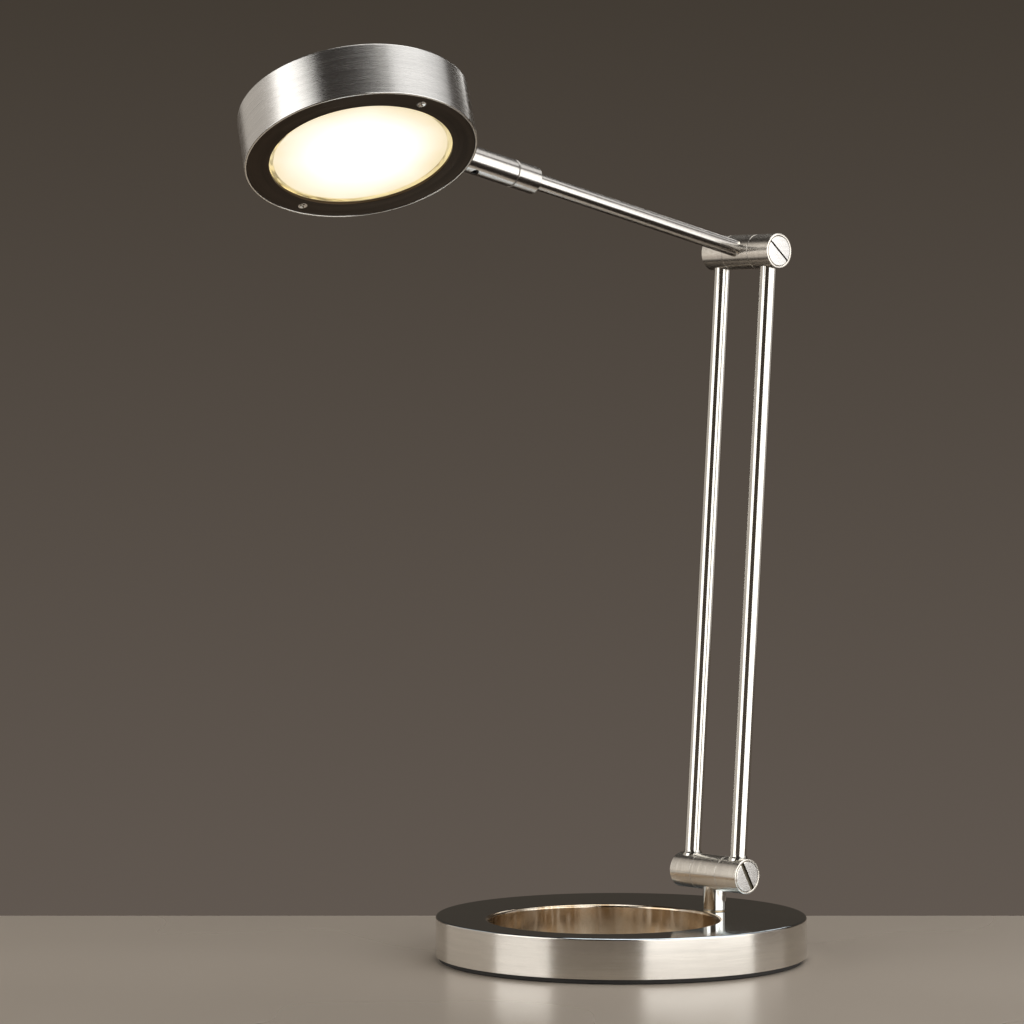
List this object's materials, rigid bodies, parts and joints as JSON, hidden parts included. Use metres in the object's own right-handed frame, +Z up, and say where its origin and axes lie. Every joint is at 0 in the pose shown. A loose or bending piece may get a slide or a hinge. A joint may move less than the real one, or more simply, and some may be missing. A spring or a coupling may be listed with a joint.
{
  "type": "swing arm desk lamp",
  "caption": "Nickel-plated desk lamp with a round ring base, a swivelling post, parallel tilting rods, a tilting arm and a short drum head that rolls about the arm.",
  "frame": {"origin": "on the supporting surface, on the axis of the post's swivel", "axes": "+Z up; at rest the arm points to -X; the tilt pivots lie along Y, with their slotted screw heads at the -Y end"},
  "size_m": [0.342, 0.189, 0.4489],
  "materials": {
    "polished_base": "nickel plate, polished top and satin wall",
    "polished_nickel": "polished nickel plate",
    "satin_nickel": "nickel plate, turned and brushed round",
    "brushed_shade": "brushed round the drum",
    "brushed_bezel": "brushed in rings",
    "screw_nickel": "face brushed straight across",
    "plated_steel": "zinc plate",
    "black_screw": "black oxide",
    "cast_iron": "as cast, painted grey",
    "bronze": "turned bronze",
    "black_rubber": "matt",
    "lead_sheath": "smooth flexible sheath",
    "nylon": "natural",
    "frosted_glass": "frosted middle with a clear polished border, lit warm white",
    "clear_gasket": "clear silicone",
    "white_enamel": "matt white",
    "circuit_board": "white solder mask",
    "led_phosphor": "yellow phosphor",
    "aluminium": "turned",
    "driver_case": "moulded"
  },
  "bodies": {
    "base": {"base_shell": "polished_base", "base_weight": "cast_iron", "base_plate": "plated_steel", "base_pad": "black_rubber", "base_plate_screws": "plated_steel", "swivel_bush": "bronze", "cord_grommet": "black_rubber", "base_lead": "lead_sheath"},
    "post": {"post": "polished_nickel", "lower_eye": "satin_nickel", "lower_bush": "bronze", "post_spring_washer": "plated_steel", "post_nut": "plated_steel", "post_lead": "lead_sheath"},
    "rods": {"lower_left_knuckle": "satin_nickel", "lower_right_knuckle": "satin_nickel", "rod_left": "polished_nickel", "rod_right": "polished_nickel", "upper_left_knuckle": "satin_nickel", "upper_right_knuckle": "satin_nickel", "lower_pivot_screw": "screw_nickel", "upper_pivot_screw": "screw_nickel", "friction_washers": "nylon", "spring_washers": "plated_steel", "rod_lead": "lead_sheath"},
    "arm": {"upper_eye": "satin_nickel", "upper_bush": "bronze", "arm_tube": "satin_nickel", "arm_collar": "satin_nickel", "arm_lead": "lead_sheath"},
    "head": {"sleeve": "satin_nickel", "set_screw": "black_screw", "sleeve_nut": "plated_steel", "shade": "brushed_shade", "bezel": "brushed_bezel", "bezel_screws": "screw_nickel", "glass": "frosted_glass", "glass_gasket": "clear_gasket", "reflector": "white_enamel", "led_board": "circuit_board", "leds": "led_phosphor", "heat_spreader": "aluminium", "led_driver": "driver_case", "head_lead": "lead_sheath"}
  },
  "joints": [
    {"name": "base_swivel", "type": "hinge", "parent": "base", "child": "post", "pos_m": [0, 0, 0.0225], "axis": [0, 0, 1], "range_deg": [-165, 165]},
    {"name": "rods_tilt", "type": "hinge", "parent": "post", "child": "rods", "pos_m": [0, 0, 0.042], "axis": [0, 1, 0], "range_deg": [-30, 30]},
    {"name": "arm_tilt", "type": "hinge", "parent": "rods", "child": "arm", "pos_m": [0.02232, 0, 0.36122], "axis": [0, 1, 0], "range_deg": [-45, 60]},
    {"name": "head_roll", "type": "hinge", "parent": "arm", "child": "head", "pos_m": [0.02232, 0, 0.36122], "axis": [-0.9781, 0, 0.2079], "range_deg": [-116, 64]}
  ]
}
